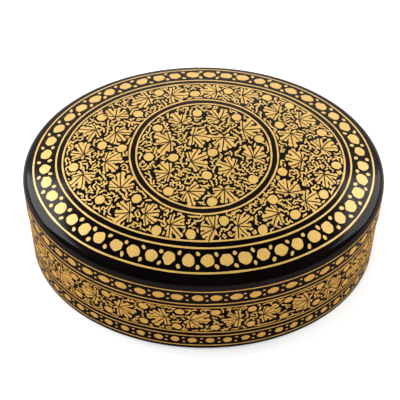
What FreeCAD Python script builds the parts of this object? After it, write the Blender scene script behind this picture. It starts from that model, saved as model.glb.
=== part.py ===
import FreeCAD, Part
import os

# An oval lidded box of lacquered papier mache. Millimetres, +Z up, +X along the oval,
# origin at the centre of the underside, lid closed.
doc = FreeCAD.newDocument("OvalPapierMacheBox")

# Driving dimensions
SIZES = {
    # outline and heights
    "lid_length": 127.0,
    "lid_width": 99.5,
    "base_height": 26.1,
    "seam_gap": 0.1,
    "lid_height": 23.3,
    # lid
    "lid_overhang": 0.4,
    "lid_clearance": 0.3,
    "crown_thickness": 3.0,
    "dome_rise": 10.1,
    "dome_overreach_share": 0.15,
    "shoulder_radius": 4.4,
    "crown_joint_drop_share": 0.66,
    "inner_shoulder_radius": 2.0,
    "tongue_thickness": 1.4,
    "tongue_depth": 2.0,
    # base
    "base_wall": 3.2,
    "floor_thickness": 3.0,
    "floor_rebate": 1.4,
    "foot_radius": 1.0,
    "rim_radius": 0.35,
    # locating collar, glued inside the mouth of the base
    "collar_thickness": 1.6,
    "collar_headroom": 4.3,
    "collar_below_rim": 6.5,
    "collar_edge_radius": 0.5,
    # bond line left between glued pieces, and how far a cutting form runs past what it cuts
    "glue_line": 0.1,
    "overrun": 5.0,
}

sheet = doc.addObject("Spreadsheet::Sheet", "Sizes")
for row, (alias, value) in enumerate(SIZES.items(), start=1):
    sheet.set("A%d" % row, alias)
    sheet.set("B%d" % row, str(value))
    sheet.setAlias("B%d" % row, alias)
doc.recompute()


def of_sheet(words):
    """Turns words such as 'base_wall + glue_line' into an expression on the sheet."""
    return " ".join("Sizes." + word if word in SIZES else word for word in words.split())


# How far inside the lid's outline each oval surface lies
LID_OUTSIDE = "0"
BASE_OUTSIDE = "lid_overhang"
WELL = BASE_OUTSIDE + " + base_wall"
COLLAR_OUTSIDE = WELL + " + glue_line"
COLLAR_INSIDE = COLLAR_OUTSIDE + " + collar_thickness"
LID_INSIDE = COLLAR_OUTSIDE + " - lid_clearance"
TONGUE_OUTSIDE = LID_INSIDE + " - tongue_thickness"
TONGUE_SLOT = TONGUE_OUTSIDE + " - glue_line"
FLOOR_SEAT = WELL + " - floor_rebate"
FLOOR_EDGE = FLOOR_SEAT + " + glue_line"

# The dome is the top of an ellipsoid that is wider than the lid by the overreach. The share of
# its half height that lies above the lid's outline, and the half height for the rise it shows
RIM_DROP_SHARE = "( 1 - sqrt( 1 - 1 / ( 1 + dome_overreach_share ) ^ 2 ) )"
DOME_HALF_HEIGHT = "( dome_rise / " + RIM_DROP_SHARE + " )"

# Heights above the underside. The two rims are where the domes meet the upright walls,
# before they are rounded
LID_LOW = "base_height + seam_gap"
LID_TOP = LID_LOW + " + lid_height"
DOME_CENTRE = LID_TOP + " - " + DOME_HALF_HEIGHT
OUTER_RIM = LID_TOP + " - dome_rise"
INNER_RIM = (LID_TOP + " - crown_thickness - ( " + DOME_HALF_HEIGHT + " - crown_thickness ) * "
             + RIM_DROP_SHARE)
CROWN_JOINT = OUTER_RIM + " - shoulder_radius * crown_joint_drop_share"
TONGUE_LOW = CROWN_JOINT + " - tongue_depth"
COLLAR_LOW = "base_height - collar_below_rim"
COLLAR_HIGH = INNER_RIM + " - collar_headroom"
ABOVE_ALL = LID_TOP + " + overrun"


def oval_prism(name, inset, low, high):
    """An upright oval solid, 'inset' inside the lid's outline, from low to high."""
    oval = doc.addObject("Part::Ellipse", name + "_outline")
    oval.setExpression("MajorRadius", of_sheet("lid_length / 2 - ( " + inset + " )"))
    oval.setExpression("MinorRadius", of_sheet("lid_width / 2 - ( " + inset + " )"))
    oval.setExpression("Placement.Base.z", of_sheet(low))
    prism = doc.addObject("Part::Extrusion", name)
    prism.Base = oval
    prism.DirMode = "Custom"
    prism.Dir = FreeCAD.Vector(0, 0, 1)
    prism.Solid = True
    prism.setExpression("LengthFwd", of_sheet(high + " - ( " + low + " )"))
    return prism


def boolean(kind, name, base, tool):
    result = doc.addObject("Part::" + kind, name)
    result.Base = base
    result.Tool = tool
    return result


def domed_block(name, inset, low, thickness):
    """An oval prism with a domed top, 'thickness' below the outer dome. The dome's axes keep
    the oval's proportions, so its height is the same all along the prism's wall."""
    ball = doc.addObject("Part::Ellipsoid", name + "_dome")
    ball.Angle1 = -90
    ball.Angle2 = 90
    wider = "( 1 + dome_overreach_share )"
    ball.setExpression("Radius1", of_sheet(DOME_HALF_HEIGHT + " - " + thickness))
    ball.setExpression("Radius2", of_sheet(wider + " * ( lid_length / 2 - ( " + inset + " ) )"))
    ball.setExpression("Radius3", of_sheet(wider + " * ( lid_width / 2 - ( " + inset + " ) )"))
    ball.setExpression("Placement.Base.z", of_sheet(DOME_CENTRE))
    above_dome = boolean("Cut", name + "_above_dome",
                         oval_prism(name + "_top", inset + " - overrun", DOME_CENTRE,
                                    ABOVE_ALL + " + overrun"), ball)
    return boolean("Cut", name, oval_prism(name + "_prism", inset, low, ABOVE_ALL), above_dome)


def sheet_value(words):
    """The number that words such as 'seam_gap + glue_line' come to on the sheet."""
    return float(sheet.evalExpression(of_sheet(words)))


def level_rims(shape, height):
    """Names of the closed edges that run round the box at one height."""
    reach = shape.getTolerance(1)
    names = []
    for number, edge in enumerate(shape.Edges, start=1):
        if edge.isClosed() and edge.Length > reach and abs(edge.Vertexes[0].Z - height) < reach:
            names.append("Edge%d" % number)
    return names


def rounded(name, base, rounds):
    """A body made from base, with its level rims rounded: rounds lists (height, radius) words."""
    body = doc.addObject("PartDesign::Body", name)
    body.BaseFeature = base
    doc.recompute()
    for number, (height, radius) in enumerate(rounds, start=1):
        last = body.Tip
        edges = level_rims(last.Shape, sheet_value(height))
        if not edges:
            raise RuntimeError(name + ": no rim at " + height)
        fillet = body.newObject("PartDesign::Fillet", "%s_round_%d" % (name, number))
        fillet.Base = (last, edges)
        fillet.setExpression("Radius", of_sheet(radius))
        body.Tip = fillet
        doc.recompute()
    return body


def make_lid_shell():
    """The lid as one shell: the outer form with its shoulder, less the hollow."""
    outer = domed_block("lid_outer", LID_OUTSIDE, LID_LOW, "0")
    hollow = domed_block("lid_hollow", LID_INSIDE, LID_LOW + " - overrun", "crown_thickness")
    outer_form = rounded("lid_outer_form", outer,
                         [(OUTER_RIM, "shoulder_radius"), (LID_LOW, "rim_radius")])
    hollow_form = rounded("lid_hollow_form", hollow, [(INNER_RIM, "inner_shoulder_radius")])
    return boolean("Cut", "lid_shell", outer_form, hollow_form)


def above_joint(name, inset, low, joint):
    """Everything above the glued joint: a full slab, and inside it the tongue's oval."""
    slab = oval_prism(name + "_slab", "0 - overrun", joint, ABOVE_ALL)
    core = oval_prism(name + "_core", inset, low, ABOVE_ALL)
    return boolean("Fuse", name, slab, core)


def make_lid(shell):
    """Splits the shell at the stepped joint into the domed crown and the hoop."""
    crown = boolean("Common", "crown", shell,
                    above_joint("crown_side", TONGUE_OUTSIDE, TONGUE_LOW, CROWN_JOINT))
    hoop = boolean("Cut", "hoop", shell,
                   above_joint("hoop_side", TONGUE_SLOT, TONGUE_LOW + " - glue_line", CROWN_JOINT))
    return crown, hoop


def make_base_wall():
    """The hoop of the base, with a rebate at the bottom for the floor board."""
    block = oval_prism("wall_block", BASE_OUTSIDE, "0", "base_height")
    form = rounded("wall_form", block, [("0", "foot_radius"), ("base_height", "rim_radius")])
    well = oval_prism("wall_well", WELL, "0 - overrun", ABOVE_ALL)
    seat = oval_prism("wall_floor_seat", FLOOR_SEAT, "0 - overrun", "floor_thickness")
    open_form = boolean("Cut", "wall_open", form, well)
    return boolean("Cut", "wall", open_form, seat)


def make_floor():
    return oval_prism("floor", FLOOR_EDGE, "0", "floor_thickness")


def make_collar():
    """The thin strip inside the mouth of the base, over which the lid slips."""
    ring = boolean("Cut", "collar_ring",
                   oval_prism("collar_block", COLLAR_OUTSIDE, COLLAR_LOW, COLLAR_HIGH),
                   oval_prism("collar_well", COLLAR_INSIDE, "0 - overrun", ABOVE_ALL))
    return rounded("collar", ring, [(COLLAR_HIGH, "collar_edge_radius")])


lid_crown, lid_hoop = make_lid(make_lid_shell())
pieces = {
    "lid_crown": lid_crown,
    "lid_hoop": lid_hoop,
    "base_wall": make_base_wall(),
    "base_floor": make_floor(),
    "locating_collar": make_collar(),
}
doc.recompute()

for item in doc.Objects:
    if "Invalid" in item.State or "Error" in item.State:
        raise RuntimeError("%s could not be built: %s" % (item.Name, item.State))
for label, piece in pieces.items():
    piece.Label = label
    shape = piece.Shape
    if shape.isNull() or not shape.isValid() or len(shape.Solids) != 1:
        raise RuntimeError(label + " is not one valid solid")
    box = shape.BoundBox
    print("%-16s volume %9.1f  x %6.2f  y %6.2f  z %5.2f to %5.2f" % (
        label, shape.Volume, box.XLength, box.YLength, box.ZMin, box.ZMax))

os.makedirs("parts", exist_ok=True)
for label, piece in pieces.items():
    piece.Shape.exportStep("parts/%s.step" % label)
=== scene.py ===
import math
import random

import bpy
import numpy as np
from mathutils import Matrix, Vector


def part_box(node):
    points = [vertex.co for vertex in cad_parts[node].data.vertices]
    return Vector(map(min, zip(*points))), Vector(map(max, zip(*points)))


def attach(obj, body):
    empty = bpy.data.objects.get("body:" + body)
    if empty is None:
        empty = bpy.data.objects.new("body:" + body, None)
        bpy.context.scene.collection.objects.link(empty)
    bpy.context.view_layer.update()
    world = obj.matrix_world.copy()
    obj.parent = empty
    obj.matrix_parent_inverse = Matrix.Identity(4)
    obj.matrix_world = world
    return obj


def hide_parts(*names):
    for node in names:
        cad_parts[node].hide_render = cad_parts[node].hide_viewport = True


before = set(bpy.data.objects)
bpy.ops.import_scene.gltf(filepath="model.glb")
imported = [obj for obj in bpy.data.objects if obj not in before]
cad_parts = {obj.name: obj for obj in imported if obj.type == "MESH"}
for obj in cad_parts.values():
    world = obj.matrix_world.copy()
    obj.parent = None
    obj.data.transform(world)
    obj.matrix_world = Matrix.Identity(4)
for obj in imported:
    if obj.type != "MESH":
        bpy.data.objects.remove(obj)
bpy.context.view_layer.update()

# An oval papier mache box: smooth lacquered shells over the CAD's walls, and hand-brushed gold
# rings, dots, leaves and twigs laid on them. Lengths are in metres.
MM = 0.001

# Sizes taken from the frame
HOOP_LOW, HOOP_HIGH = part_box("lid_hoop")
WALL_LOW, WALL_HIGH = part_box("base_wall")
FLOOR_LOW, FLOOR_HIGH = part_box("base_floor")
COLLAR_LOW, COLLAR_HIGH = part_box("locating_collar")
LID_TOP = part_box("lid_crown")[1].z
LID_OVAL = (HOOP_HIGH.x, HOOP_HIGH.y)
BASE_OVAL = (WALL_HIGH.x, WALL_HIGH.y)
FLOOR_OVAL = (FLOOR_HIGH.x, FLOOR_HIGH.y)
COLLAR_OVAL = (COLLAR_HIGH.x, COLLAR_HIGH.y)

# Walls and rounded edges, as in the CAD model
LID_WALL = 3.4 * MM
BASE_WALL = 3.2 * MM
CROWN_THICKNESS = 3.0 * MM
FLOOR_REBATE = 1.4 * MM
COLLAR_THICKNESS = 1.6 * MM
FOOT_RADIUS = 1.0 * MM
RIM_RADIUS = 0.35 * MM
BOARD_EDGE = 0.2 * MM
BOARD_MIDDLE_SHARE = 0.5
COLLAR_EDGE = 0.5 * MM

# The dome is the top of an ellipsoid wider than the oval below it
DOME_RISE = 10.1 * MM
DOME_REACH_SHARE = 1.15
DOME_HALF_HEIGHT = DOME_RISE / (1 - math.sqrt(1 - 1 / DOME_REACH_SHARE ** 2))
SHOULDER_SHARE = 0.959
SHOULDER_DROP = 2.6 * MM
SHOULDER_FULLNESS = 0.86
INNER_SHOULDER_SHARE = 0.978
INNER_SHOULDER_DROP = 1.2 * MM
APEX_SHARE = 0.015

# How finely the shells are divided, and up to which angle their faces are shaded as one
RING_POINTS = 288
DOME_RINGS = 26
SHOULDER_RINGS = 10
INNER_SHOULDER_RINGS = 6
EDGE_RINGS = 4
WALL_RINGS = 5
SMOOTH_ANGLE = math.radians(35)

# Where each painted line, dot and band lies. Insets are from the lid's outline, and heights
# are above the underside
TOP_OUTER_LINE_INSET = 4.0 * MM
TOP_DOT_INSET = 8.0 * MM
TOP_INNER_LINE_INSET = 12.1 * MM
TOP_BAND_INSET = 14.4 * MM
MEDALLION_OUTER_RADIUS = 25.7 * MM
MEDALLION_INNER_RADIUS = 23.4 * MM
LID_SIDE_TOP_LINE = 36.4 * MM
LID_SIDE_DOTS = 32.8 * MM
LID_SIDE_LOW_LINES = (29.1 * MM, 27.0 * MM)
BASE_BAND_LOW = 11.6 * MM
BASE_BAND_HIGH = 25.75 * MM
BASE_SIDE_LINES = (10.9 * MM, 8.65 * MM)
BASE_SIDE_DOTS = 5.7 * MM
BASE_SIDE_LOW_LINE = 2.5 * MM
LINE_WIDTH = 0.61 * MM
SIDE_LINE_WIDTH = 0.52 * MM

# The rows of dots. On the lid's top: how many, half their length and width in millimetres, and the
# same of the two small dots in each gap, with their places outwards
TOP_DOT_COUNT = 49
TOP_DOT_LENGTHS = (1.95, 2.35)
TOP_DOT_WIDTHS = (1.85, 2.15)
TOP_SMALL_LENGTHS = (0.68, 0.95)
TOP_SMALL_WIDTHS = (0.52, 0.72)
TOP_SMALL_PLACES = (2.05 * MM, -1.95 * MM)
# On a wall: how many dots, half their length and width, and how far the small ones lie up and down
LID_SIDE_ROW = (55, 2.05 * MM, 1.65 * MM, 1.33 * MM)
BASE_SIDE_ROW = (58, 1.6 * MM, 1.42 * MM, 1.15 * MM)
SIDE_SMALL_DOT = (0.55 * MM, 0.42 * MM)
# How unsteady they are: along their row, as a share of its pitch, then how far they stray in
# millimetres, how they lean in radians, and how the walls' large dots vary in size
ROW_STRAY = 0.04
TOP_DOT_STRAY = 0.1
SIDE_DOT_STRAY = 0.12
SMALL_DOT_STRAY = 0.2
SMALL_DOT_LEANS = (0.6, 2.5)
SIDE_DOT_LEAN = 0.15
SIDE_DOT_SIZES = (0.93, 1.06)

# Brush marks
LID_SEED = 11
BASE_SEED = 23
COAT_THICKNESS = 0.045 * MM
COAT_SUNK = 0.012 * MM
INK_THICKNESS = 0.02 * MM
INK_LIFT = 0.028 * MM
TWIG_WIDTH = 0.6 * MM
TOP_GAP = 0.36 * MM
BASE_GAP = 0.5 * MM
TWIG_STEP = 0.72 * MM
VEIN_WIDTH = 0.46 * MM
OUTLINE_WIDTH = 0.42 * MM
LEAF_REACH = 5.8 * MM
BASE_LEAF_REACH = 6.7 * MM
LEAF_SIZES = (0.92, 1.0)
BAND_LEAF_SIZES = (0.9, 1.0)
BERRY_RADIUS = 1.72 * MM
BASE_BERRY_RADIUS = 1.6 * MM


def inset(oval, depth):
    return oval[0] - depth, oval[1] - depth


def shrunk(oval, share):
    return oval[0] * share, oval[1] * share


def dome_height(share, drop=0.0):
    """Height of the dome where the oval is scaled by share; the inner dome is 'drop' lower."""
    half_height = DOME_HALF_HEIGHT - drop
    return LID_TOP - DOME_HALF_HEIGHT + half_height * math.sqrt(1 - (share / DOME_REACH_SHARE) ** 2)


def dome_slope(share, drop=0.0):
    half_height = DOME_HALF_HEIGHT - drop
    steep = share / DOME_REACH_SHARE ** 2
    return -half_height * steep / math.sqrt(1 - (share / DOME_REACH_SHARE) ** 2)


# Profiles: each is a list of rings, (half length, half width, height)

def dome_rings(oval, outer_share, drop):
    """Rings from the shoulder up to the apex, closer together towards the shoulder."""
    rings = []
    for step in range(DOME_RINGS + 1):
        share = APEX_SHARE + (outer_share - APEX_SHARE) * math.cos(math.pi / 2 * step / DOME_RINGS)
        rings.append((*shrunk(oval, share), dome_height(share, drop)))
    return rings


def shoulder_rings(oval, share, fall, drop, count):
    """Rings of the rolled shoulder, from the upright wall to the dome, without the last one."""
    corner = dome_height(share, drop) + dome_slope(share, drop) * (1 - share)
    foot, top = corner - fall, dome_height(share, drop)
    rings = []
    for step in range(count):
        t = step / count
        shares = ((1 - t) ** 2, 2 * SHOULDER_FULLNESS * t * (1 - t), t ** 2)
        total = sum(shares)
        reach = (shares[0] + shares[1] + shares[2] * share) / total
        height = (shares[0] * foot + shares[1] * corner + shares[2] * top) / total
        rings.append((*shrunk(oval, reach), height))
    return rings


def edge_rings(oval, height, radius, start, end):
    """Rings round a rounded edge. The angles are in degrees, 0 outwards and 90 upwards, and
    'height' is that of the arc's centre."""
    rings = []
    for step in range(EDGE_RINGS + 1):
        angle = math.radians(start + (end - start) * step / EDGE_RINGS)
        rings.append((*inset(oval, radius * (1 - math.cos(angle))), height + radius * math.sin(angle)))
    return rings


def wall_rings(oval, low, high):
    """Rings up (or down) an upright wall, without its two ends."""
    return [(*oval, low + (high - low) * step / WALL_RINGS) for step in range(1, WALL_RINGS)]


def lid_profile():
    inside = inset(LID_OVAL, LID_WALL)
    inner = shoulder_rings(inside, INNER_SHOULDER_SHARE, INNER_SHOULDER_DROP, CROWN_THICKNESS,
                           INNER_SHOULDER_RINGS)
    outer = shoulder_rings(LID_OVAL, SHOULDER_SHARE, SHOULDER_DROP, 0.0, SHOULDER_RINGS)
    low = HOOP_LOW.z
    return (dome_rings(inside, INNER_SHOULDER_SHARE, CROWN_THICKNESS)[::-1]
            + inner[::-1]
            + wall_rings(inside, inner[0][2], low)
            + [(*inside, low)]
            + edge_rings(LID_OVAL, low + RIM_RADIUS, RIM_RADIUS, -90, 0)
            + wall_rings(LID_OVAL, low + RIM_RADIUS, outer[0][2])
            + outer
            + dome_rings(LID_OVAL, SHOULDER_SHARE, 0.0))


def base_profile():
    well = inset(BASE_OVAL, BASE_WALL)
    seat = inset(BASE_OVAL, BASE_WALL - FLOOR_REBATE)
    high = WALL_HIGH.z
    return (edge_rings(BASE_OVAL, FOOT_RADIUS, FOOT_RADIUS, -90, 0)
            + wall_rings(BASE_OVAL, FOOT_RADIUS, high - RIM_RADIUS)
            + edge_rings(BASE_OVAL, high - RIM_RADIUS, RIM_RADIUS, 0, 90)
            + [(*well, high)]
            + wall_rings(well, high, FLOOR_HIGH.z)
            + [(*well, FLOOR_HIGH.z), (*seat, FLOOR_HIGH.z), (*seat, WALL_LOW.z)])


def floor_profile():
    low, high = FLOOR_LOW.z, FLOOR_HIGH.z
    apex, middle = shrunk(FLOOR_OVAL, APEX_SHARE), shrunk(FLOOR_OVAL, BOARD_MIDDLE_SHARE)
    return ([(*apex, low), (*middle, low)]
            + edge_rings(FLOOR_OVAL, BOARD_EDGE, BOARD_EDGE, -90, 0)
            + edge_rings(FLOOR_OVAL, high - BOARD_EDGE, BOARD_EDGE, 0, 90)
            + [(*middle, high), (*apex, high)])


def collar_profile():
    inside = inset(COLLAR_OVAL, COLLAR_THICKNESS)
    low, high = COLLAR_LOW.z, COLLAR_HIGH.z
    inner_edge = [(2 * inside[0] - a, 2 * inside[1] - b, z)
                  for a, b, z in edge_rings(inside, high - COLLAR_EDGE, COLLAR_EDGE, 90, 0)]
    return ([(*COLLAR_OVAL, low)]
            + wall_rings(COLLAR_OVAL, low, high - COLLAR_EDGE)
            + edge_rings(COLLAR_OVAL, high - COLLAR_EDGE, COLLAR_EDGE, 0, 90)
            + inner_edge
            + wall_rings(inside, high - COLLAR_EDGE, low)
            + [(*inside, low)])


# Modelling the shells

def oval_shell(name, rings, joined_ends):
    """Shapes a shell from one circle: it is pulled out ring by ring, each resized to its oval.
    Its ends are joined to each other, or else each is filled."""
    bpy.ops.object.select_all(action="DESELECT")
    bpy.ops.mesh.primitive_circle_add(vertices=RING_POINTS, radius=1.0)
    shell = bpy.context.object
    shell.name = name
    bpy.ops.object.mode_set(mode="EDIT")
    bpy.ops.mesh.select_mode(type="EDGE")
    bpy.ops.mesh.select_all(action="SELECT")
    half_length, half_width, height = rings[0]
    bpy.ops.transform.resize(value=(half_length, half_width, 1.0))
    bpy.ops.transform.translate(value=(0.0, 0.0, height))
    for ring in rings[1:]:
        rise = (0.0, 0.0, ring[2] - height)
        bpy.ops.mesh.extrude_region_move(TRANSFORM_OT_translate={"value": rise})
        bpy.ops.transform.resize(value=(ring[0] / half_length, ring[1] / half_width, 1.0),
                                 center_override=(0.0, 0.0, ring[2]))
        half_length, half_width, height = ring
    bpy.ops.mesh.select_all(action="DESELECT")
    bpy.ops.mesh.select_non_manifold(use_wire=False, use_multi_face=False, use_non_contiguous=False,
                                     use_verts=False)
    if joined_ends:
        bpy.ops.mesh.bridge_edge_loops()
    else:
        bpy.ops.mesh.select_all(action="SELECT")
        bpy.ops.mesh.fill_holes(sides=0)
    bpy.ops.mesh.select_all(action="SELECT")
    bpy.ops.mesh.normals_make_consistent(inside=False)
    bpy.ops.object.mode_set(mode="OBJECT")
    bpy.ops.object.shade_smooth_by_angle(angle=SMOOTH_ANGLE)
    return shell


# Surfaces that are painted: each lays flat points on itself, at a lift above the lacquer

def lay_on_dome(points, lift):
    """Points are places in plan."""
    x, y = points.T
    wide, deep = LID_OVAL[0] * DOME_REACH_SHARE, LID_OVAL[1] * DOME_REACH_SHARE
    above_centre = DOME_HALF_HEIGHT * np.sqrt(1 - (x / wide) ** 2 - (y / deep) ** 2)
    normal = np.stack([x / wide ** 2, y / deep ** 2, above_centre / DOME_HALF_HEIGHT ** 2], axis=1)
    normal /= np.linalg.norm(normal, axis=1, keepdims=True)
    place = np.stack([x, y, LID_TOP - DOME_HALF_HEIGHT + above_centre], axis=1)
    return place + normal * lift


class OvalWall:
    """An upright oval wall. Points are (distance round it, height)."""

    STEPS = 3600

    def __init__(self, oval):
        self.oval = oval
        self.angles = np.linspace(0.0, 2 * math.pi, self.STEPS + 1)
        x, y = oval[0] * np.cos(self.angles), oval[1] * np.sin(self.angles)
        self.distances = np.concatenate([[0.0], np.cumsum(np.hypot(np.diff(x), np.diff(y)))])
        self.girth = self.distances[-1]

    def angle(self, along):
        return np.interp(along % self.girth, self.distances, self.angles)

    def lay(self, points, lift):
        along, height = points.T
        angle = self.angle(along)
        x, y = self.oval[0] * np.cos(angle), self.oval[1] * np.sin(angle)
        normal = np.stack([x / self.oval[0] ** 2, y / self.oval[1] ** 2, 0 * x], axis=1)
        normal /= np.linalg.norm(normal, axis=1, keepdims=True)
        return np.stack([x, y, height], axis=1) + normal * lift

    def plan(self, along, outwards=0.0):
        """The place in plan at a distance round the oval, and the direction of the oval there."""
        angle = self.angle(along)
        ahead = math.atan2(self.oval[1] * math.cos(angle), -self.oval[0] * math.sin(angle))
        x = self.oval[0] * math.cos(angle) + outwards * math.sin(ahead)
        y = self.oval[1] * math.sin(angle) - outwards * math.cos(ahead)
        return x, y, ahead


# Brush marks

class Coat:
    """Brush marks of one paint on one surface, gathered flat before they are laid on it."""

    def __init__(self):
        self.points = []
        self.faces = []

    def add(self, points, faces):
        first = len(self.points)
        self.points.extend(points)
        self.faces.extend([tuple(first + corner for corner in face) for face in faces])


def turned(points, angle, centre):
    cos, sin = math.cos(angle), math.sin(angle)
    return [(centre[0] + x * cos - y * sin, centre[1] + x * sin + y * cos) for x, y in points]


# The waves in a dot's outline, and how fast they die away
DOT_WAVES = 6
DOT_SWELLS = (0.2, 1.2)
DOT_FADE = 0.15


def brush_dot(coat, centre, half_length, half_width, heading, brush, points=24, rough=0.03):
    """A dab of paint: an oval with an uneven outline."""
    leans = [brush.uniform(0, 2 * math.pi) for _ in range(DOT_WAVES)]
    swells = [rough * brush.uniform(*DOT_SWELLS) / (1 + DOT_FADE * order) for order in range(DOT_WAVES)]
    rim = []
    for number in range(points):
        angle = 2 * math.pi * number / points
        reach = 1.0 + sum(swell * math.cos((order + 2) * angle + lean)
                          for order, (swell, lean) in enumerate(zip(swells, leans)))
        rim.append((half_length * reach * math.cos(angle), half_width * reach * math.sin(angle)))
    faces = [(number, (number + 1) % points, points) for number in range(points)]
    coat.add(turned(rim + [(0.0, 0.0)], heading, centre), faces)


# A stroke's half width at its ends, what its middle adds, how it trembles, and how far its rounded
# ends reach, as shares of the brush's half width
STROKE_END = 0.72
STROKE_BELLY = 0.3
STROKE_TREMBLE = (-0.1, 0.12)
STROKE_TIP = 0.75


def brush_stroke(coat, line, half_width, brush):
    """A stroke along a line of points, fuller in its middle and round at both ends."""
    rights, lefts = [], []
    last = len(line) - 1
    for number, (x, y) in enumerate(line):
        before, after = line[max(number - 1, 0)], line[min(number + 1, last)]
        length = math.hypot(after[0] - before[0], after[1] - before[1])
        dx, dy = (after[0] - before[0]) / length, (after[1] - before[1]) / length
        half = half_width * (STROKE_END + STROKE_BELLY * math.sin(math.pi * number / last)
                             + brush.uniform(*STROKE_TREMBLE))
        rights.append((x + dy * half, y - dx * half))
        lefts.append((x - dy * half, y + dx * half))
    reach = STROKE_TIP * half_width
    tips = []
    for (x, y), inner in ((line[0], line[1]), (line[-1], line[-2])):
        length = math.hypot(inner[0] - x, inner[1] - y)
        tips.append((x - (inner[0] - x) / length * reach, y - (inner[1] - y) / length * reach))
    count = len(line)
    faces = [(step, step + 1, count + step + 1, count + step) for step in range(last)]
    faces.append((2 * count, 0, count))
    faces.append((last, 2 * count + 1, count + last))
    coat.add(rights + lefts + tips, faces)


# A closed line: how finely it is divided, how many waves are in it, and how far it strays and
# swells, as shares of its width
RING_STEPS = 420
GIRTH_STEPS = 360
LINE_WAVES = 12
LINE_DRIFT = 0.75
LINE_SWELL = 0.6


def brush_loop(coat, width, steps, sides, place, brush):
    """A closed line, its width and place a little unsteady. place(turn, out) is its point at a
    turn, that far off its middle."""
    waves = [(order, brush.uniform(-1, 1), brush.uniform(0, 2 * math.pi))
             for order in range(LINE_WAVES)]
    points = []
    for side in sides:
        for step in range(steps):
            turn = 2 * math.pi * step / steps
            drift = sum(share * math.sin((order + 2) * turn + lean)
                        for order, share, lean in waves) / LINE_WAVES
            swell = sum(share * math.sin((order * 3 + 7) * turn - lean)
                        for order, share, lean in waves) / LINE_WAVES
            out = LINE_DRIFT * width * drift + side * width / 2 * (1 + LINE_SWELL * swell)
            points.append(place(turn, out))
    faces = [(step, (step + 1) % steps, steps + (step + 1) % steps, steps + step)
             for step in range(steps)]
    coat.add(points, faces)


def brush_ring(coat, oval, width, brush):
    """A closed line round an oval in plan."""
    brush_loop(coat, width, RING_STEPS, (1, -1), lambda turn, out: (
        (oval[0] + out) * math.cos(turn), (oval[1] + out) * math.sin(turn)), brush)


def brush_girth(coat, girth, height, width, brush):
    """A closed line round a wall."""
    brush_loop(coat, width, GIRTH_STEPS, (-1, 1),
               lambda turn, out: (girth * turn / (2 * math.pi), height + out), brush)


# Each lobe of a leaf: its turn from the leaf's axis in degrees, and its length as a share of the
# leaf's reach
LOBES = ((0, 1.12), (41, 1.05), (-41, 1.05), (81, 0.82), (-81, 0.82), (122, 0.42), (-122, 0.42))

# One side of a lobe, from the leaf's centre to its tip, as shares of the lobe's length: a small
# tooth, a notch and the broad tooth at the end. Between two lobes a dark slit opens
BLADE = ((0.0, 0.0), (0.37, 0.148), (0.6, 0.225), (0.7, 0.185), (0.84, 0.29), (0.93, 0.24),
         (1.0, 0.12), (0.93, 0.0))
MIDRIB = (0.37, 0.6, 0.76)
BLADE_FACES = ((0, 8, 1), (8, 9, 2, 1), (9, 10, 3, 2), (10, 7, 4, 3), (7, 5, 4), (7, 6, 5))

# From which point on a blade's width varies, and from which on its end tooth does, and the shares
# they take
SPREADS_FROM, GROWS_FROM = 2, 4
BLADE_SPREADS = (0.68, 1.0)
TOOTH_GROWTHS = (0.86, 1.06)


def blade_outline(length, side, brush):
    """Points and faces of one side of a lobe, with its uneven teeth."""
    growth, spread = brush.uniform(*TOOTH_GROWTHS), brush.uniform(*BLADE_SPREADS)
    points = []
    for number, (along, across) in enumerate(BLADE):
        grown = growth if number >= GROWS_FROM else 1.0
        wide = spread if number >= SPREADS_FROM else 1.0
        points.append((along * grown * length, side * across * wide * length))
    points.extend([(along * length, 0.0) for along in MIDRIB])
    return points, [face[::side] for face in BLADE_FACES]


# How a lobe varies (its turn in degrees, and its length), from which length share on it has a vein,
# and the vein's bow and course along it
LOBE_SWAY = 6
LOBE_LENGTHS = (0.85, 1.12)
VEINED_FROM = 0.6
VEIN_BOW = 0.05
VEIN_COURSE = (0.3, 0.62, 0.93)

# Spots that cover a leaf in its field: one at its centre, and their places and sizes along a lobe
CENTRE_SPOT = 0.15
LOBE_SPOTS = (0.3, 0.45, 0.6, 0.75, 0.85)
SPOT_SPREAD = 0.36
SPOT_LARGEST = 0.23


def brush_leaf(gold, ink, field, centre, heading, reach, brush):
    """A leaf of seven lobes with a dark vein along each of the longer ones."""
    field.clear_round(centre, CENTRE_SPOT * reach)
    for turn, length_share in LOBES:
        angle = heading + math.radians(turn + brush.uniform(-LOBE_SWAY, LOBE_SWAY))
        length = reach * length_share * brush.uniform(*LOBE_LENGTHS)
        for side in (1, -1):
            points, faces = blade_outline(length, side, brush)
            gold.add(turned(points, angle, centre), faces)
        if length_share > VEINED_FROM:
            bow = brush.uniform(-VEIN_BOW, VEIN_BOW) * length
            near, far, tip = (share * length for share in VEIN_COURSE)
            vein = [(0.0, 0.0), (near, bow), (far, bow), (tip, 0.0)]
            brush_stroke(ink, turned(vein, angle, centre), VEIN_WIDTH / 2, brush)
        for share in LOBE_SPOTS:
            spot = turned([(share * length, 0.0)], angle, centre)[0]
            field.clear_round(spot, min(SPOT_SPREAD * share, SPOT_LARGEST) * length)


# Twigs that fill the field between the leaves

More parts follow.
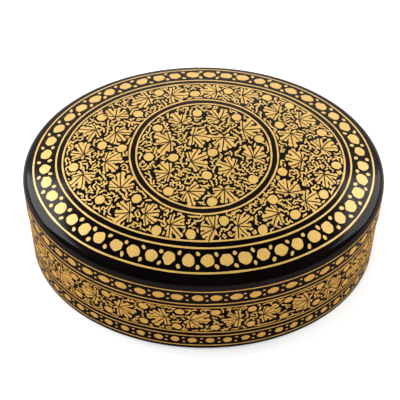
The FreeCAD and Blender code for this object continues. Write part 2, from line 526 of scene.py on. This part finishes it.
class Field:
    """A flat field divided in small cells, which knows where a new stroke's middle may run."""

    CELL = 0.1 * MM

    def __init__(self, low, high, gap, outside, wraps=False):
        self.low = low
        self.gap = gap
        self.wraps = wraps
        self.columns = round((high[0] - low[0]) / self.CELL)
        self.rows = round((high[1] - low[1]) / self.CELL)
        x = low[0] + (np.arange(self.columns) + 0.5) * self.CELL
        y = low[1] + (np.arange(self.rows) + 0.5) * self.CELL
        self.outside = outside(*np.meshgrid(x, y))
        self.taken = self.outside.copy()

    def cell(self, place):
        column = int((place[0] - self.low[0]) / self.CELL)
        row = int((place[1] - self.low[1]) / self.CELL)
        return (column % self.columns if self.wraps else column), row

    def holds(self, column, row):
        return 0 <= row < self.rows and 0 <= column < self.columns

    def free(self, place):
        column, row = self.cell(place)
        return self.holds(column, row) and not self.taken[row, column]

    def painted(self, place):
        column, row = self.cell(place)
        return self.holds(column, row) and self.taken[row, column] and not self.outside[row, column]

    def cover(self, place, radius):
        column, row = self.cell(place)
        reach = int(radius / self.CELL) + 1
        span = np.arange(-reach, reach + 1)
        near = span[:, None] ** 2 + span[None, :] ** 2 <= (radius / self.CELL) ** 2
        rows = row + span
        columns = (column + span) % self.columns if self.wraps else column + span
        inside = (rows >= 0) & (rows < self.rows)
        across = (columns >= 0) & (columns < self.columns)
        block = np.ix_(rows[inside], columns[across])
        self.taken[block] |= near[np.ix_(inside, across)]

    def clear_round(self, place, radius):
        """Keeps a spot and a gap round it free of strokes."""
        self.cover(place, radius + self.gap + TWIG_WIDTH / 2)

    def edge_places(self, brush):
        """The middles of the free cells beside a taken one, in a random order."""
        beside = np.zeros_like(self.taken)
        beside[1:] |= self.taken[:-1]
        beside[:-1] |= self.taken[1:]
        beside[:, 1:] |= self.taken[:, :-1]
        beside[:, :-1] |= self.taken[:, 1:]
        rows, columns = np.nonzero(~self.taken & beside)
        order = list(range(len(rows)))
        brush.shuffle(order)
        for number in order:
            yield (self.low[0] + (columns[number] + 0.5) * self.CELL,
                   self.low[1] + (rows[number] + 0.5) * self.CELL)


# A twig's turns in degrees: how its course drifts, its zigzag, what it tries when that is blocked,
# and from which turn on its course follows. Where nothing is free it may end against what stops it
COURSE_DRIFT = 22
ZIGZAG = (18, 42)
NEXT_TURN = 30
SHARP_TURNS = (75, 115)
KEPT_TURN = 60
TOUCHING_SHARE = 0.5

# Lengths in a twig, in steps: its last step, the room round its steps and round a fork, the fork's
# first step, and how far it looks for a root. In pitches: how far off it is rooted, and the room
# that a stroke takes
TOUCHING_STEP = 0.6
STEP_ROOM = 0.95
FORK_ROOM = 0.75
FORK_START = 0.8
ROOT_LOOK = 0.3
ROOT_START = 0.8
STROKE_ROOM = 0.95

# How twigs grow: the least steps on each round, how many have a root, in how many ways it is looked
# for and how these vary (in radians), the steps of a stem and of a fork, how many knots have no
# fork, and how wide the strokes are
SHORTEST_TWIGS = (4, 3, 2, 2, 1, 1)
ROOTED_SHARE = 0.7
ROOT_WAYS = 12
WAY_STRAY = 0.5
STEM_STEPS = (4, 12)
FORK_STEPS = (0, 0, 1, 2)
BARE_KNOTS = 0.45
TWIG_WIDTHS = (0.9, 1.15)


def far_from(place, line, distance):
    return all(math.hypot(place[0] - x, place[1] - y) > distance for x, y in line)


def ahead_of(place, heading, distance):
    return place[0] + distance * math.cos(heading), place[1] + distance * math.sin(heading)


def wander(field, line, heading, steps, others, brush):
    """Lengthens a line in zigzag steps where the field is free, keeping its gap to other lines."""
    bend = brush.choice((-1, 1))
    for _ in range(steps):
        heading += math.radians(brush.uniform(-COURSE_DRIFT, COURSE_DRIFT))
        bend = -bend
        sharp_turns = [side * turn for turn in SHARP_TURNS for side in (bend, -bend)]
        for swerve in (bend * brush.uniform(*ZIGZAG), -bend * NEXT_TURN, *sharp_turns):
            way = heading + math.radians(swerve)
            place = ahead_of(line[-1], way, TWIG_STEP)
            if field.free(place) and far_from(place, line[:-1] + others, STEP_ROOM * TWIG_STEP):
                line.append(place)
                if abs(swerve) > KEPT_TURN:
                    heading = way
                break
        else:
            if brush.random() < TOUCHING_SHARE:
                line.append(ahead_of(line[-1], heading, TOUCHING_STEP * TWIG_STEP))
            break
    return line


def root_of(field, place, brush):
    """The way from a place to what is painted nearest to it."""
    ways = [brush.uniform(0, WAY_STRAY) + 2 * math.pi * number / ROOT_WAYS
            for number in range(ROOT_WAYS)]
    blocked = [way for way in ways if not field.free(ahead_of(place, way, ROOT_LOOK * TWIG_STEP))]
    return brush.choice(blocked or ways)


def brush_twigs(field, coat, brush):
    """Fills a field with forked, wavering strokes that grow from what is painted already."""
    pitch = TWIG_WIDTH + field.gap
    for shortest in SHORTEST_TWIGS:
        for place in field.edge_places(brush):
            if not field.free(place):
                continue
            root = root_of(field, place, brush)
            rooted = brush.random() < ROOTED_SHARE
            start = [ahead_of(place, root, ROOT_START * pitch), place] if rooted else [place]
            stem = wander(field, start, root + math.pi, brush.randint(*STEM_STEPS), [], brush)
            if len(stem) < max(shortest + rooted, 2):
                continue
            twig = [stem]
            for number in range(2, len(stem) - 1):
                if brush.random() < BARE_KNOTS:
                    continue
                back, knot, after = stem[number - 1], stem[number], stem[number + 1]
                side = math.atan2(2 * knot[1] - back[1] - after[1], 2 * knot[0] - back[0] - after[0])
                first = ahead_of(knot, side, FORK_START * TWIG_STEP)
                rest = [spot for line in twig for spot in line if spot != knot]
                if field.free(first) and far_from(first, rest, FORK_ROOM * TWIG_STEP):
                    steps = brush.choice(FORK_STEPS)
                    twig.append(wander(field, [knot, first], side, steps, rest, brush))
            for line in twig:
                brush_stroke(coat, line, TWIG_WIDTH / 2 * brush.uniform(*TWIG_WIDTHS), brush)
                for spot, after in zip(line, line[1:] + line[-1:]):
                    middle = ((spot[0] + after[0]) / 2, (spot[1] + after[1]) / 2)
                    field.cover(spot, STROKE_ROOM * pitch)
                    field.cover(middle, STROKE_ROOM * pitch)


# What is painted where

def dots_round(wall, count, brush, mark):
    """Calls mark(distance, next gap's middle) for evenly spaced dots, a little unsteady."""
    for number in range(count):
        along = wall.girth * (number + brush.uniform(-ROW_STRAY, ROW_STRAY)) / count
        mark(along, wall.girth * (number + 0.5) / count)


def paint_lid_border(dots, brush):
    """Dots between the two lines at the edge of the lid's top, with two small dots in each gap."""
    track = OvalWall(inset(LID_OVAL, TOP_DOT_INSET))

    def mark(along, gap):
        x, y, ahead = track.plan(along, brush.uniform(-TOP_DOT_STRAY, TOP_DOT_STRAY) * MM)
        brush_dot(dots, (x, y), brush.uniform(*TOP_DOT_LENGTHS) * MM,
                  brush.uniform(*TOP_DOT_WIDTHS) * MM, ahead, brush, rough=0.05)
        for outwards in TOP_SMALL_PLACES:
            stray = brush.uniform(-SMALL_DOT_STRAY, SMALL_DOT_STRAY) * MM
            x, y, ahead = track.plan(gap, outwards + stray)
            brush_dot(dots, (x, y), brush.uniform(*TOP_SMALL_LENGTHS) * MM,
                      brush.uniform(*TOP_SMALL_WIDTHS) * MM,
                      ahead + brush.uniform(*SMALL_DOT_LEANS), brush, points=9)

    dots_round(track, TOP_DOT_COUNT, brush, mark)


def paint_wall_dots(dots, wall, height, row, brush):
    """A row of dots round a wall, with one small dot over another in each gap."""
    count, half_length, half_width, spread = row

    def mark(along, gap):
        place = (along, height + brush.uniform(-SIDE_DOT_STRAY, SIDE_DOT_STRAY) * MM)
        brush_dot(dots, place, half_length * brush.uniform(*SIDE_DOT_SIZES),
                  half_width * brush.uniform(*SIDE_DOT_SIZES),
                  brush.uniform(-SIDE_DOT_LEAN, SIDE_DOT_LEAN), brush)
        for side in (-1, 1):
            stray = brush.uniform(-SMALL_DOT_STRAY, SMALL_DOT_STRAY) * MM
            place = (gap + stray, height + side * spread)
            brush_dot(dots, place, *SIDE_SMALL_DOT, 0.0, brush, points=8)

    dots_round(wall, count, brush, mark)


# A berry's half length and width and how far round it its outline and its cover lie, as shares of
# its radius
BERRY_LENGTHS = (1.0, 1.08)
BERRY_WIDTHS = (0.93, 1.0)
BERRY_EDGE = 1.05
OUTLINE_STEPS = 28


def brush_berry(gold, ink, field, place, radius, brush):
    """A berry, with a dark outline where it lies on a leaf."""
    brush_dot(gold, place, radius * brush.uniform(*BERRY_LENGTHS),
              radius * brush.uniform(*BERRY_WIDTHS), brush.uniform(0, math.pi), brush)
    outline = []
    for step in range(OUTLINE_STEPS + 1):
        turn = 2 * math.pi * step / OUTLINE_STEPS
        spot = ahead_of(place, turn, BERRY_EDGE * radius + OUTLINE_WIDTH / 2)
        if field.painted(spot):
            outline.append(spot)
        if not field.painted(spot) or step == OUTLINE_STEPS:
            if len(outline) > 2:
                brush_stroke(ink, outline, OUTLINE_WIDTH / 2, brush)
            outline = []
    field.clear_round(place, BERRY_EDGE * radius)


# Leaves of the medallion: place in millimetres from the middle, and heading in degrees
MEDALLION_LEAVES = ((-8.0, 13.0, 120), (5.3, 15.1, 117), (13.4, 10.4, 10), (-4.0, 7.0, -10),
                    (-11.6, 4.3, 190), (6.9, 6.6, 268), (16.9, -2.4, 65), (-4.4, -4.8, 25),
                    (-11.7, -9.5, 175), (9.9, -7.2, 155), (-5.4, -17.1, -35), (6.9, -15.9, 270))
MEDALLION_BERRIES = ((-2.5, 18.3), (11.4, 16.6), (-16.3, 10.9), (19.2, 6.4), (-19.0, -2.4),
                     (-10.5, -3.0), (3.0, -0.7), (1.1, -10.5), (16.9, -11.5), (-11.8, -17.0),
                     (3.0, -21.0))


def near_ring(x, y, oval):
    """Rough distance in plan from an oval, positive outside it."""
    share = np.hypot(x / oval[0], y / oval[1])
    return (share - 1) * np.hypot(x, y) / np.maximum(share, 1e-6)


def paint_field(field, leaves, berries, sizes, coats, brush):
    """Leaves and berries at their places on the lid's top, and twigs in the ground between them."""
    gold, ink, twigs = coats
    for x, y, heading in leaves:
        brush_leaf(gold, ink, field, (x * MM, y * MM), math.radians(heading),
                   LEAF_REACH * brush.uniform(*sizes), brush)
    for x, y in berries:
        brush_berry(gold, ink, field, (x * MM, y * MM), BERRY_RADIUS, brush)
    brush_twigs(field, twigs, brush)


def paint_medallion(coats, brush):
    reach = MEDALLION_INNER_RADIUS - LINE_WIDTH / 2 - TOP_GAP
    field = Field((-reach, -reach), (reach, reach), TOP_GAP,
                  lambda x, y: np.hypot(x, y) > reach - TWIG_WIDTH / 2)
    paint_field(field, MEDALLION_LEAVES, MEDALLION_BERRIES, LEAF_SIZES, coats, brush)


# Leaves and berries of the band round the medallion, given the same way
BAND_LEAVES = ((-31.5, 17.5, 80), (-38, 12, 205), (-31, 10, -55), (-41.5, 0.5, 120),
               (-34, -3.5, 0), (-41.5, -8, 270), (-28, -15, 90), (-24.5, -24.5, 180),
               (-19.5, -25.5, 0), (-11, -29.5, -10), (4, -31, 165), (11.5, -29.5, 0),
               (25.5, -24, 210), (26.5, 20.5, 165), (33.5, 18, 0), (30.5, 10.5, 270),
               (41, 4.5, 50), (34, -2, 175), (41.5, -6.5, 270), (29, -16, 95), (34.5, -18.5, 0),
               (-20, 27, 205), (-12, 28.5, 0), (4.5, 30.5, 180), (13.5, 29, 0))
BAND_BERRIES = ((-36.5, 18), (-35.5, 4), (-28.5, 2), (-45, -4.5), (-35, -19), (-22.5, -19.5),
                (-15.5, -31.5), (-4, -33), (7, -28), (20, -30.5), (23.5, -19), (31, -24),
                (22.5, 28.5), (30.5, 25), (26.5, 14), (41.5, 12.5), (27, -7.5), (46, -2),
                (41, -15), (-23.5, 18.5), (-16.5, 30), (-3.5, 29), (8.5, 31))


def paint_band(coats, brush):
    outer = inset(LID_OVAL, TOP_BAND_INSET + LINE_WIDTH / 2 + TOP_GAP + TWIG_WIDTH / 2)
    inner = MEDALLION_OUTER_RADIUS + LINE_WIDTH / 2 + TOP_GAP + TWIG_WIDTH / 2
    field = Field((-outer[0], -outer[1]), outer, TOP_GAP,
                  lambda x, y: (near_ring(x, y, outer) > 0) | (np.hypot(x, y) < inner))
    paint_field(field, BAND_LEAVES, BAND_BERRIES, BAND_LEAF_SIZES, coats, brush)


# The band round the base: how many leaves, how they sway (in radians) and rise (in millimetres), how
# far their centres lie back from their pitch and from the way they face, and how the berries lie
BASE_LEAF_COUNT = 28
BASE_LEAF_SWAY = 0.25
BASE_LEAF_RISES = (-0.5, 0.6)
BASE_LEAF_SET_BACK = 1.9 * MM
BASE_LEAF_LEAD = 2.1 * MM
BASE_BERRY_RISES = (4.7 * MM, -4.6 * MM)
BASE_BERRY_SHIFTS = (-2.8, -1.0)


def paint_base_band(gold, ink, twigs, wall, brush):
    """Leaves round the base that face left and right by turns, two berries between each pair."""
    low, high = BASE_BAND_LOW + TWIG_WIDTH / 2, BASE_BAND_HIGH - TWIG_WIDTH / 2
    field = Field((0.0, low), (wall.girth, high), BASE_GAP, lambda x, y: np.zeros_like(x, bool),
                  wraps=True)
    middle = (BASE_BAND_LOW + BASE_BAND_HIGH) / 2
    pitch = wall.girth / BASE_LEAF_COUNT
    for number in range(BASE_LEAF_COUNT):
        facing = 0.0 if number % 2 else math.pi
        heading = facing + brush.uniform(-BASE_LEAF_SWAY, BASE_LEAF_SWAY)
        along = pitch * number - BASE_LEAF_SET_BACK - BASE_LEAF_LEAD * math.cos(facing)
        height = middle + brush.uniform(*BASE_LEAF_RISES) * MM
        brush_leaf(gold, ink, field, (along, height), heading,
                   BASE_LEAF_REACH * brush.uniform(*LEAF_SIZES), brush)
        for rise in BASE_BERRY_RISES:
            place = (pitch * (number + 0.5) + brush.uniform(*BASE_BERRY_SHIFTS) * MM, middle + rise)
            brush_berry(gold, ink, field, place, BASE_BERRY_RADIUS, brush)
    brush_twigs(field, twigs, brush)


# Making the pieces

def finished(piece, material, slot, body, *nodes):
    """Gives a piece its material and body, and hides the CAD nodes that it stands for."""
    piece.data.materials.clear()
    piece.data.materials.append(material)
    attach(piece, body)
    if nodes:
        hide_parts(*nodes)


def laid(name, coat, lay, paint, body, lift=-COAT_SUNK, thickness=COAT_THICKNESS):
    """Lays a coat on its surface as one piece and gives it the thickness of the paint."""
    mesh = bpy.data.meshes.new(name)
    mesh.from_pydata(lay(np.array(coat.points), lift).tolist(), [], coat.faces)
    piece = bpy.data.objects.new(name, mesh)
    bpy.context.scene.collection.objects.link(piece)
    bpy.ops.object.select_all(action="DESELECT")
    piece.select_set(True)
    bpy.context.view_layer.objects.active = piece
    depth = piece.modifiers.new("paint", "SOLIDIFY")
    depth.thickness = thickness
    depth.offset = 1.0
    bpy.ops.object.modifier_apply(modifier=depth.name)
    finished(piece, paint, "gold_paint", body)


# Materials. Each lacquer's thin and pooled colour, its lowest and highest roughness, and its shine
LID_LACQUER = ((0.0015, 0.0009, 0.0009), (0.003, 0.002, 0.0018), (0.2, 0.3), 0.02)
BASE_LACQUER = ((0.0015, 0.0008, 0.0007), (0.003, 0.0018, 0.0015), (0.2, 0.3), 0.02)
INSIDE_LACQUER = ((0.011, 0.009, 0.009), (0.020, 0.016, 0.016), (0.38, 0.5), 0.4)
DUST_COLOUR = (0.06, 0.055, 0.05)

# The polish of the lid's varnish: on its side and on its shoulder, and how high it takes to change
LID_POLISH = (0.06, 0.5)
POLISH_REACH = 3.0 * MM

# Each gold's dull and bright grains, its polish and the tint of its shine; the top's grains are a touch
# lighter than the side's, as painted light from above. The ink's two browns
TOP_GOLD = ((0.72, 0.39, 0.05), (1.0, 0.68, 0.14), 0.95, (1.0, 1.0, 1.0))
SIDE_GOLD = ((0.70, 0.37, 0.06), (1.0, 0.66, 0.19), 0.0, (0.8, 0.5, 0.22))
THIN_GOLD_SHARE = 0.8
INK_BROWNS = ((0.012, 0.004, 0.003), (0.028, 0.009, 0.005))


def fed(tree, socket, value):
    """Links a socket to another one, or sets its value."""
    if isinstance(value, bpy.types.NodeSocket):
        tree.links.new(value, socket)
    else:
        socket.default_value = value


def node(tree, kind, **values):
    """Adds a node and feeds its sockets (by name, spaces as underscores) or sets its settings."""
    made = tree.nodes.new(kind)
    for name, value in values.items():
        socket = made.inputs.get(name.replace("_", " "))
        if socket is None:
            setattr(made, name, value)
        else:
            fed(tree, socket, value)
    return made


def tuned(tree, shader, **values):
    """Feeds sockets of a shader, by name with spaces as underscores."""
    for name, value in values.items():
        fed(tree, shader.inputs[name.replace("_", " ")], value)


def new_group(name, outputs):
    """An empty node group. Returns it, the object's coordinates, its Scale and its outputs."""
    group = bpy.data.node_groups.new(name, "ShaderNodeTree")
    group.interface.new_socket("Scale", in_out="INPUT", socket_type="NodeSocketFloat")
    for output in outputs:
        group.interface.new_socket(output, in_out="OUTPUT", socket_type="NodeSocketFloat")
    where = group.nodes.new("ShaderNodeTexCoord").outputs["Object"]
    scale = group.nodes.new("NodeGroupInput").outputs["Scale"]
    return group, where, scale, group.nodes.new("NodeGroupOutput").inputs


def times(tree, first, second):
    """The product of two, each a socket or a number."""
    product = node(tree, "ShaderNodeMath", operation="MULTIPLY")
    fed(tree, product.inputs[0], first)
    fed(tree, product.inputs[1], second)
    return product.outputs[0]


def noise(tree, where, scale, fineness, detail=2.0, roughness=0.5):
    return node(tree, "ShaderNodeTexNoise", Vector=where, Scale=times(tree, scale, fineness),
                Detail=detail, Roughness=roughness).outputs["Fac"]


def ranged(tree, value, start=(0.0, 1.0), end=(0.0, 1.0)):
    """Stretches value from one range to another."""
    return node(tree, "ShaderNodeMapRange", Value=value, From_Min=start[0], From_Max=start[1],
                To_Min=end[0], To_Max=end[1]).outputs["Result"]


def mixed(tree, share, first, second):
    """A colour between two, by a socket's share of the second."""
    blend = tree.nodes.new("ShaderNodeMix")
    blend.data_type = "RGBA"
    tree.links.new(share, blend.inputs["Factor"])
    for end, colour in (("A", first), ("B", second)):
        fed(tree, blend.inputs[end], (*colour, 1.0) if isinstance(colour, tuple) else colour)
    return blend.outputs["Result"]


def make_hand_varnish():
    """Hand-laid varnish: slow pooling, fine specks of dust and a faintly rippled surface."""
    group, where, scale, ends = new_group("hand_varnish", ("Pooling", "Dust", "Height"))
    pooling = noise(group, where, scale, fineness=45.0, detail=3.0)
    dust = noise(group, where, scale, fineness=2600.0, detail=1.0)
    ripple = noise(group, where, scale, fineness=260.0)
    group.links.new(ranged(group, pooling, (0.3, 0.7)), ends["Pooling"])
    group.links.new(ranged(group, dust, (0.76, 0.86)), ends["Dust"])
    group.links.new(ripple, ends["Height"])
    return group


def make_gold_grain():
    """Ground gold in a binder: fine bright and dull grains, and slow changes of thickness."""
    group, where, scale, ends = new_group("gold_grain", ("Grain", "Thickness", "Height"))
    grain = noise(group, where, scale, fineness=2300.0, detail=3.0, roughness=0.7)
    thickness = noise(group, where, scale, fineness=150.0)
    group.links.new(ranged(group, grain, (0.35, 0.65)), ends["Grain"])
    group.links.new(ranged(group, thickness, (0.3, 0.7)), ends["Thickness"])
    group.links.new(grain, ends["Height"])
    return group


def start_material(name, group, scale=1.0):
    """A new material with one shared effect in it. Returns the material, its tree, its shader
    and the effect's outputs."""
    material = bpy.data.materials.new(name)
    material.use_nodes = True
    tree = material.node_tree
    effect = tree.nodes.new("ShaderNodeGroup")
    effect.node_tree = group
    effect.inputs["Scale"].default_value = scale
    return material, tree, tree.nodes["Principled BSDF"], effect.outputs


def bump(tree, height, strength, distance):
    return node(tree, "ShaderNodeBump", Strength=strength, Distance=distance,
                Height=height).outputs["Normal"]


def make_lacquer(name, varnish, thin, pooled, rough, specular):
    """Black lacquer under varnish."""
    material, tree, shader, effect = start_material(name, varnish)
    clean = mixed(tree, effect["Pooling"], thin, pooled)
    tuned(tree, shader, Base_Color=mixed(tree, effect["Dust"], clean, DUST_COLOUR),
          Roughness=ranged(tree, effect["Pooling"], end=rough),
          Normal=bump(tree, effect["Height"], strength=0.12, distance=0.05 * MM),
          Specular_IOR_Level=specular, Specular_Tint=(1.0, 0.78, 0.76, 1.0))
    return material


def polish_crown(material):
    """Polishes the lid's varnish: dull on its upright side, glossy on its shoulder and dome."""
    tree = material.node_tree
    shader = tree.nodes["Principled BSDF"]
    where = tree.nodes.new("ShaderNodeTexCoord").outputs["Object"]
    height = node(tree, "ShaderNodeSeparateXYZ", Vector=where).outputs["Z"]
    change = (LID_SIDE_TOP_LINE, LID_SIDE_TOP_LINE + POLISH_REACH)
    tuned(tree, shader, Coat_Weight=ranged(tree, height, change, LID_POLISH), Coat_Roughness=0.15,
          Coat_Normal=shader.inputs["Normal"].links[0].from_socket)


def make_gold(name, grain, dull, bright, polish, edge):
    """Gold paint: grains of metal in a clear binder, under varnish more or less polished."""
    material, tree, shader, effect = start_material(name, grain)
    speckled = mixed(tree, effect["Grain"], dull, bright)
    thinner = mixed(tree, effect["Grain"], dull, tuple(THIN_GOLD_SHARE * part for part in bright))
    tuned(tree, shader, Base_Color=mixed(tree, effect["Thickness"], thinner, speckled),
          Roughness=ranged(tree, effect["Grain"], end=(0.58, 0.42)),
          Normal=bump(tree, effect["Height"], strength=0.35, distance=0.06 * MM),
          Metallic=0.45, Specular_IOR_Level=0.1, Specular_Tint=(*edge, 1.0),
          Coat_Weight=polish, Coat_Roughness=0.38, Coat_IOR=2.1)
    return material


def make_ink(name, grain):
    """Dark brown brushed over the gold for the veins of the leaves."""
    material, tree, shader, effect = start_material(name, grain, scale=0.6)
    tuned(tree, shader, Base_Color=mixed(tree, effect["Grain"], *INK_BROWNS),
          Roughness=ranged(tree, effect["Thickness"], end=(0.45, 0.6)), Specular_IOR_Level=0.1)
    return material


# Studio. The floor: its gap under the box, its side, its colour as the camera sees it and as it
# lights the box, and the glow that makes it white to the camera
FLOOR_GAP = 0.1 * MM
FLOOR_SIDE = 12.0
FLOOR_SEEN = (0.83, 0.83, 0.83)
FLOOR_BOUNCE = (0.53, 0.46, 0.45)
FLOOR_GLOW = 0.24

# The room that the lacquer mirrors: how bright it is by height (0 level, 1 overhead), times how
# bright it is from one depth behind the box to another, and its colour
ROOM_HEIGHTS = ((0.0, 0.55), (0.45, 1.0), (0.75, 0.48), (1.0, 0.95))
ROOM_DEPTHS = (0.1, 0.9)
ROOM_LEVELS = (0.02, 1.1)
ROOM_COLOUR = (1.0, 0.9, 0.87)
WHITE = (1.0, 1.0, 1.0)

# The lamps: azimuth (0 in front, 90 at the right), elevation, distance, side and power
LEFT_SOFTBOX = (-103, 33, 1.0, 0.74, 7.8)
RIGHT_SOFTBOX = (107, 32, 1.0, 0.74, 5.2)


def plain_floor():
    bpy.ops.mesh.primitive_plane_add(size=FLOOR_SIDE, location=(0.0, 0.0, -FLOOR_GAP))
    floor = bpy.context.object
    floor.name = "studio_floor"
    material = bpy.data.materials.new("white_floor")
    material.use_nodes = True
    tree = material.node_tree
    camera_ray = tree.nodes.new("ShaderNodeLightPath").outputs["Is Camera Ray"]
    tuned(tree, tree.nodes["Principled BSDF"], Roughness=0.6, Specular_IOR_Level=0.1,
          Base_Color=mixed(tree, camera_ray, FLOOR_BOUNCE, FLOOR_SEEN),
          Emission_Strength=times(tree, camera_ray, FLOOR_GLOW), Emission_Color=(*WHITE, 1.0))
    floor.data.materials.append(material)


def studio_world():
    """White to the camera. Elsewhere a pale backdrop behind the box and a dim room."""
    world = bpy.data.worlds.new("studio")
    bpy.context.scene.world = world
    world.use_nodes = True
    tree = world.node_tree
    room = tree.nodes["Background"]
    where = tree.nodes.new("ShaderNodeTexCoord").outputs["Generated"]
    place = node(tree, "ShaderNodeSeparateXYZ", Vector=where)
    height = node(tree, "ShaderNodeValToRGB", Fac=place.outputs["Z"])
    stops = height.color_ramp.elements
    for position, _ in ROOM_HEIGHTS[1:-1]:
        stops.new(position)
    for stop, (_, level) in zip(stops, ROOM_HEIGHTS):
        stop.color = (level, level, level, 1.0)
    behind = ranged(tree, place.outputs["Y"], ROOM_DEPTHS, ROOM_LEVELS)
    mirrored = times(tree, height.outputs["Color"], behind)
    rays = tree.nodes.new("ShaderNodeLightPath").outputs
    strength = node(tree, "ShaderNodeMix", Factor=rays["Is Diffuse Ray"], A=mirrored, B=1.0)
    tuned(tree, room, Strength=strength.outputs["Result"],
          Color=mixed(tree, rays["Is Diffuse Ray"], ROOM_COLOUR, WHITE))
    white = node(tree, "ShaderNodeBackground", Strength=1.0, Color=(*WHITE, 1.0))
    either = node(tree, "ShaderNodeMixShader")
    tree.links.new(rays["Is Camera Ray"], either.inputs[0])
    tree.links.new(room.outputs[0], either.inputs[1])
    tree.links.new(white.outputs[0], either.inputs[2])
    tree.links.new(either.outputs[0], tree.nodes["World Output"].inputs["Surface"])


def softbox(name, azimuth, elevation, distance, side, power):
    """A square lamp that faces the box."""
    turn, rise = math.radians(azimuth), math.radians(elevation)
    level = distance * math.cos(rise)
    bpy.ops.object.light_add(type="AREA")
    lamp = bpy.context.object
    lamp.name = name
    lamp.data.shape = "SQUARE"
    lamp.data.size = side
    lamp.data.energy = power
    lamp.location = (level * math.sin(turn), -level * math.cos(turn), distance * math.sin(rise))
    lamp.rotation_euler = (math.pi / 2 - rise, 0.0, turn)


# The camera: it looks along +Y and down at the middle of the box. The picture's width and how far
# its middle lies from the lens's axis are in pixels, the film's width and the lens in millimetres
CAMERA_ELEVATION = math.radians(51.97)
CAMERA_DISTANCE = 473.4 * MM
CAMERA_AIM = 26.7 * MM
CAMERA_ROLL = math.radians(0.75)
CAMERA_LENS = 118.8
FILM_WIDTH = 36.0
PICTURE_WIDTH = 400
AXIS_OFFSET = (3.4, -8.4)


def place_camera():
    bpy.ops.object.camera_add()
    camera = bpy.context.object
    camera.name = "photo_camera"
    camera.location = (0.0, -CAMERA_DISTANCE * math.cos(CAMERA_ELEVATION),
                       CAMERA_AIM + CAMERA_DISTANCE * math.sin(CAMERA_ELEVATION))
    camera.rotation_euler = (math.pi / 2 - CAMERA_ELEVATION, 0.0, 0.0)
    camera.rotation_euler.rotate_axis("Z", CAMERA_ROLL)
    camera.data.sensor_width = FILM_WIDTH
    camera.data.lens = CAMERA_LENS
    camera.data.shift_x = -AXIS_OFFSET[0] / PICTURE_WIDTH
    camera.data.shift_y = AXIS_OFFSET[1] / PICTURE_WIDTH
    bpy.context.scene.camera = camera


# The whole box

def make_shells(lid_lacquer, base_lacquer, inside_lacquer):
    for name, rings, joined_ends, material, slot, body, *nodes in (
            ("lid_shell", lid_profile(), False, lid_lacquer, "lid_lacquer", "lid",
             "lid_crown", "lid_hoop"),
            ("base_shell", base_profile(), True, base_lacquer, "base_lacquer", "base", "base_wall"),
            ("floor_board", floor_profile(), False, inside_lacquer, "inside_lacquer", "base",
             "base_floor"),
            ("collar_strip", collar_profile(), True, inside_lacquer, "inside_lacquer", "base",
             "locating_collar")):
        finished(oval_shell(name, rings, joined_ends), material, slot, body, *nodes)


def paint_lid(top_gold, side_gold, ink_paint):
    brush = random.Random(LID_SEED)
    wall = OvalWall(LID_OVAL)
    top_lines, side_lines = Coat(), Coat()
    for depth in (TOP_OUTER_LINE_INSET, TOP_INNER_LINE_INSET, TOP_BAND_INSET):
        brush_ring(top_lines, inset(LID_OVAL, depth), LINE_WIDTH, brush)
    for radius in (MEDALLION_OUTER_RADIUS, MEDALLION_INNER_RADIUS):
        brush_ring(top_lines, (radius, radius), LINE_WIDTH, brush)
    for height in (LID_SIDE_TOP_LINE, *LID_SIDE_LOW_LINES):
        brush_girth(side_lines, wall.girth, height, SIDE_LINE_WIDTH, brush)
    laid("lid_top_lines", top_lines, lay_on_dome, top_gold, "lid")
    laid("lid_side_lines", side_lines, wall.lay, side_gold, "lid")

    top_dots, side_dots = Coat(), Coat()
    paint_lid_border(top_dots, brush)
    paint_wall_dots(side_dots, wall, LID_SIDE_DOTS, LID_SIDE_ROW, brush)
    laid("lid_top_dots", top_dots, lay_on_dome, top_gold, "lid")
    laid("lid_side_dots", side_dots, wall.lay, side_gold, "lid")

    leaves, veins, twigs = Coat(), Coat(), Coat()
    paint_medallion((leaves, veins, twigs), brush)
    paint_band((leaves, veins, twigs), brush)
    laid("lid_gold_leaves", leaves, lay_on_dome, top_gold, "lid")
    laid("lid_gold_twigs", twigs, lay_on_dome, top_gold, "lid")
    laid("lid_leaf_veins", veins, lay_on_dome, ink_paint, "lid", INK_LIFT, INK_THICKNESS)


def paint_base(side_gold, ink_paint):
    brush = random.Random(BASE_SEED)
    wall = OvalWall(BASE_OVAL)
    lines, dots = Coat(), Coat()
    for height in (*BASE_SIDE_LINES, BASE_SIDE_LOW_LINE):
        brush_girth(lines, wall.girth, height, SIDE_LINE_WIDTH, brush)
    paint_wall_dots(dots, wall, BASE_SIDE_DOTS, BASE_SIDE_ROW, brush)
    leaves, veins, twigs = Coat(), Coat(), Coat()
    paint_base_band(leaves, veins, twigs, wall, brush)
    for name, coat in (("lines", lines), ("dots", dots), ("leaves", leaves), ("twigs", twigs)):
        laid("base_gold_" + name, coat, wall.lay, side_gold, "base")
    laid("base_leaf_veins", veins, wall.lay, ink_paint, "base", INK_LIFT, INK_THICKNESS)


varnish, grain = make_hand_varnish(), make_gold_grain()
# The top gold is the side's paint made a touch lighter: painted light from above
top_gold = make_gold("top_gold", grain, *TOP_GOLD)
side_gold = make_gold("side_gold", grain, *SIDE_GOLD)
ink_paint = make_ink("vein_brown", grain)
lid_lacquer = make_lacquer("lid_lacquer", varnish, *LID_LACQUER)
polish_crown(lid_lacquer)
base_lacquer = make_lacquer("base_lacquer", varnish, *BASE_LACQUER)
inside_lacquer = make_lacquer("inside_lacquer", varnish, *INSIDE_LACQUER)
make_shells(lid_lacquer, base_lacquer, inside_lacquer)
paint_lid(top_gold, side_gold, ink_paint)
paint_base(side_gold, ink_paint)

plain_floor()
studio_world()
softbox("left_softbox", *LEFT_SOFTBOX)
softbox("right_softbox", *RIGHT_SOFTBOX)
place_camera()
bpy.context.scene.view_settings.view_transform = "Standard"
